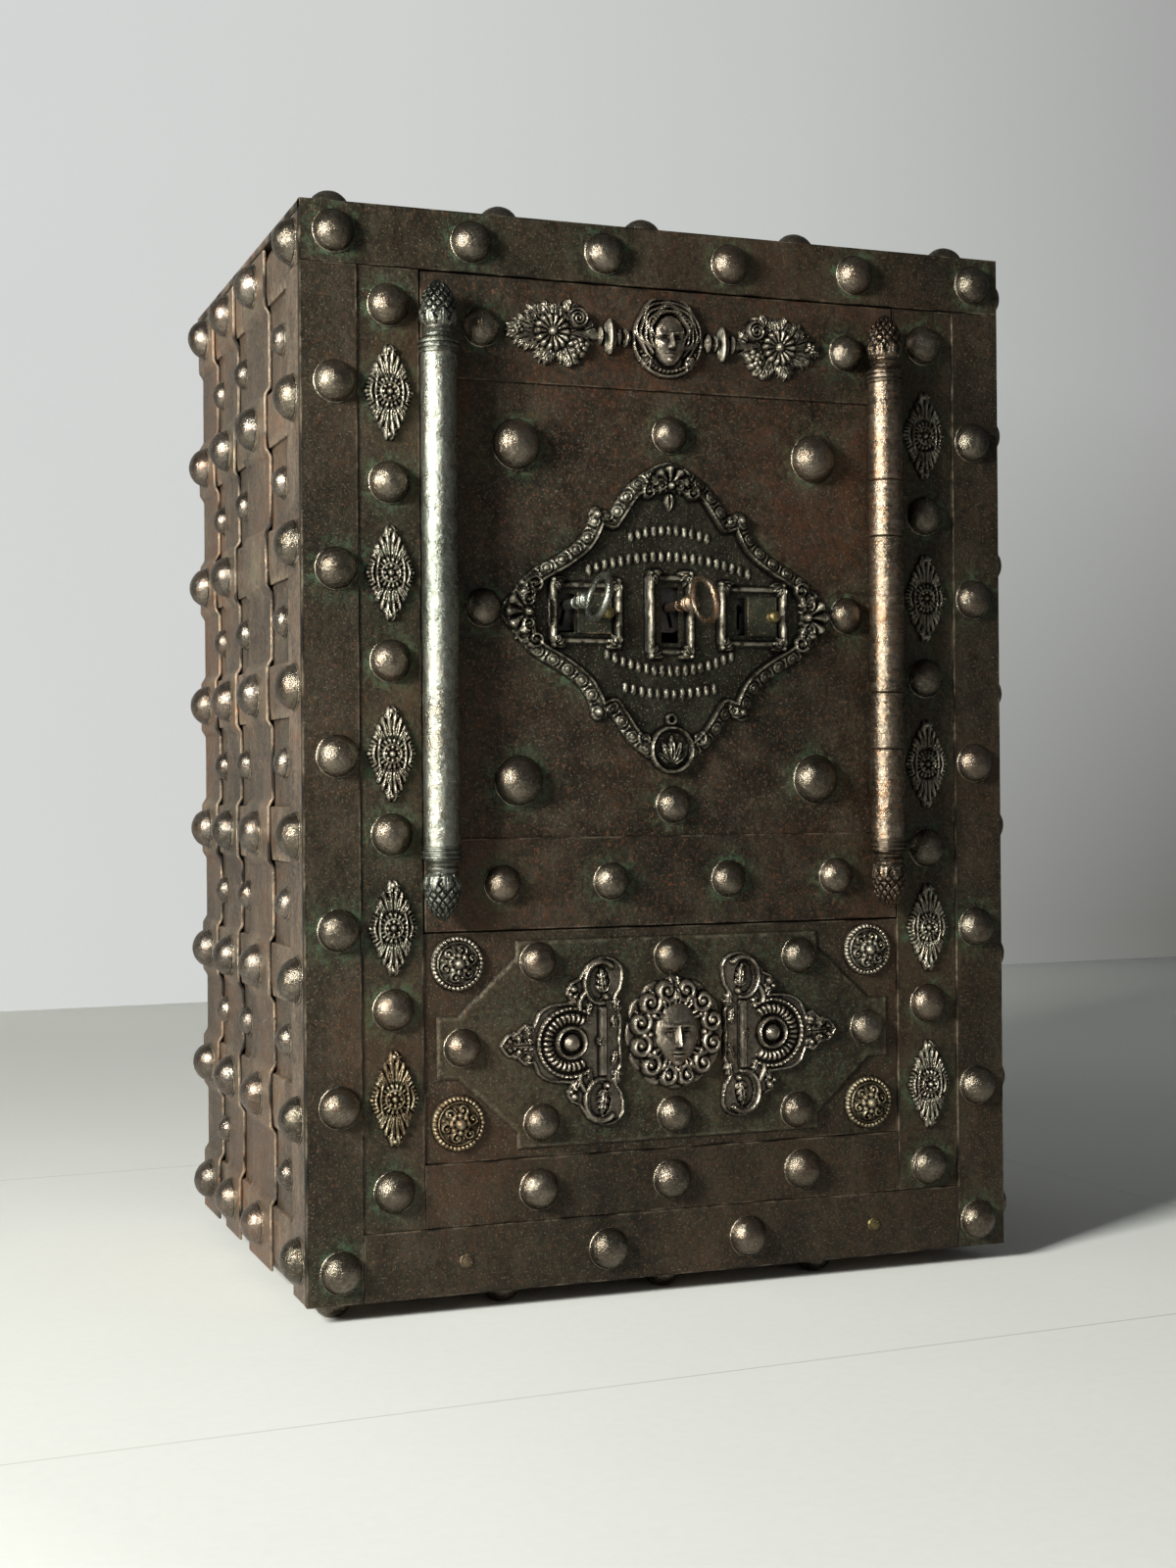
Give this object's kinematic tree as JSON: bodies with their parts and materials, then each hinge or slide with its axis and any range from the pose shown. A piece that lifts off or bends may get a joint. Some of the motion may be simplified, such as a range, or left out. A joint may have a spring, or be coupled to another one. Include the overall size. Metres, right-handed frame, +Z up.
{
  "type": "iron strongbox",
  "caption": "Oak strongbox clad in nailed iron bands and straps, with a column-hinged front door, cast mounts, and a cartouche of key locks, keyhole shutters and sliding bolts.",
  "frame": {"origin": "on the floor, under the flat of the middle foot", "axes": "+Z up, +X to the right as seen from the front, the door faces -Y"},
  "size_m": [0.721, 0.6145, 0.983],
  "materials": {
    "dark_iron": "wrought iron, dark brown patina with worn pale edges",
    "wall_iron": "wrought iron, grey-brown, rust stained",
    "door_iron": "wrought iron, reddish brown patina",
    "cast_mounts": "cast and chased iron, dark with green-grey bloom",
    "bright_steel": "turned and worn bright, green-grey cast",
    "warm_steel": "turned, worn bright with a copper tone",
    "lock_iron": "forged and oiled",
    "brass": "aged, dull green-brown",
    "oak": "old oak, oiled"
  },
  "bodies": {
    "case": {"oak_carcass": "oak", "shelf": "oak", "strike_bar": "lock_iron", "left_corner_angle": "dark_iron", "right_corner_angle": "dark_iron", "top_rail": "dark_iron", "top_sheet": "wall_iron", "bottom_sheet": "wall_iron", "bottom_rail": "dark_iron", "left_inner_stile": "dark_iron", "right_inner_stile": "dark_iron", "lower_rail": "dark_iron", "lower_panel": "dark_iron", "octagonal_plate": "dark_iron", "mask_medallion": "cast_mounts", "left_scroll_mount": "cast_mounts", "right_scroll_mount": "cast_mounts", "rosette_1": "cast_mounts", "rosette_2": "cast_mounts", "rosette_3": "cast_mounts", "rosette_4": "cast_mounts", "upper_frame_knuckle": "warm_steel", "lower_frame_knuckle": "warm_steel", "hinge_pin": "lock_iron", "left_side_sheet": "wall_iron", "left_side_strap_1": "wall_iron", "left_side_strap_2": "wall_iron", "left_side_strap_3": "wall_iron", "right_side_sheet": "wall_iron", "right_side_strap_1": "wall_iron", "right_side_strap_2": "wall_iron", "right_side_strap_3": "wall_iron", "back_sheet": "wall_iron", "back_strap_1": "wall_iron", "back_strap_2": "wall_iron", "back_strap_3": "wall_iron", "back_strap_4": "wall_iron"},
    "door": {"door_core": "oak", "door_sheet": "door_iron", "door_top_rail": "door_iron", "door_lower_rail": "door_iron", "cartouche": "cast_mounts", "head_medallion": "cast_mounts", "left_spray": "cast_mounts", "right_spray": "cast_mounts", "left_column": "bright_steel", "hinge_barrel_upper": "warm_steel", "hinge_barrel_middle": "warm_steel", "hinge_barrel_lower": "warm_steel", "lock_case": "lock_iron"},
    "left_lock": {"left_lock_follower": "lock_iron"},
    "middle_lock": {"middle_lock_follower": "lock_iron"},
    "right_lock": {"right_lock_follower": "lock_iron"},
    "left_bolt": {"left_lock_bolt": "lock_iron"},
    "middle_bolt": {"middle_lock_bolt": "lock_iron"},
    "right_bolt": {"right_lock_bolt": "lock_iron"},
    "left_key_body": {"left_key": "bright_steel"},
    "middle_key_body": {"middle_key": "warm_steel"},
    "left_shutter_body": {"left_shutter": "brass"},
    "right_shutter_body": {"right_shutter": "brass"}
  },
  "joints": [
    {"name": "door_hinge", "type": "hinge", "parent": "case", "child": "door", "pos_m": [0.2095, -0.265, 0.6], "axis": [0, 0, 1], "range_deg": [0, 110]},
    {"name": "left_lock_turn", "type": "hinge", "parent": "door", "child": "left_lock", "pos_m": [-0.101, -0.246, 0.624], "axis": [0, -1, 0], "range_deg": [0, 360]},
    {"name": "middle_lock_turn", "type": "hinge", "parent": "door", "child": "middle_lock", "pos_m": [-0.0015, -0.246, 0.624], "axis": [0, -1, 0], "range_deg": [0, 360]},
    {"name": "right_lock_turn", "type": "hinge", "parent": "door", "child": "right_lock", "pos_m": [0.06925, -0.246, 0.624], "axis": [0, -1, 0], "range_deg": [0, 360]},
    {"name": "left_bolt_slide", "type": "slide", "parent": "door", "child": "left_bolt", "axis": [-1, 0, 0], "range_m": [0, 0.025]},
    {"name": "middle_bolt_slide", "type": "slide", "parent": "door", "child": "middle_bolt", "axis": [-1, 0, 0], "range_m": [0, 0.025]},
    {"name": "right_bolt_slide", "type": "slide", "parent": "door", "child": "right_bolt", "axis": [-1, 0, 0], "range_m": [0, 0.025]},
    {"name": "left_key_pull", "type": "slide", "parent": "left_lock", "child": "left_key_body", "axis": [0, -1, 0], "range_m": [0, 0.05]},
    {"name": "middle_key_pull", "type": "slide", "parent": "middle_lock", "child": "middle_key_body", "axis": [0, -1, 0], "range_m": [0, 0.05]},
    {"name": "left_shutter_slide", "type": "slide", "parent": "door", "child": "left_shutter_body", "axis": [1, 0, 0], "range_m": [-0.003, 0]},
    {"name": "right_shutter_slide", "type": "slide", "parent": "door", "child": "right_shutter_body", "axis": [1, 0, 0], "range_m": [-0.01, 0]}
  ],
  "couplings": [
    {"joint": "left_bolt_slide", "follows": "left_lock_turn", "m_per_rad": 0.003978},
    {"joint": "middle_bolt_slide", "follows": "middle_lock_turn", "m_per_rad": 0.003978},
    {"joint": "right_bolt_slide", "follows": "right_lock_turn", "m_per_rad": 0.003978}
  ]
}
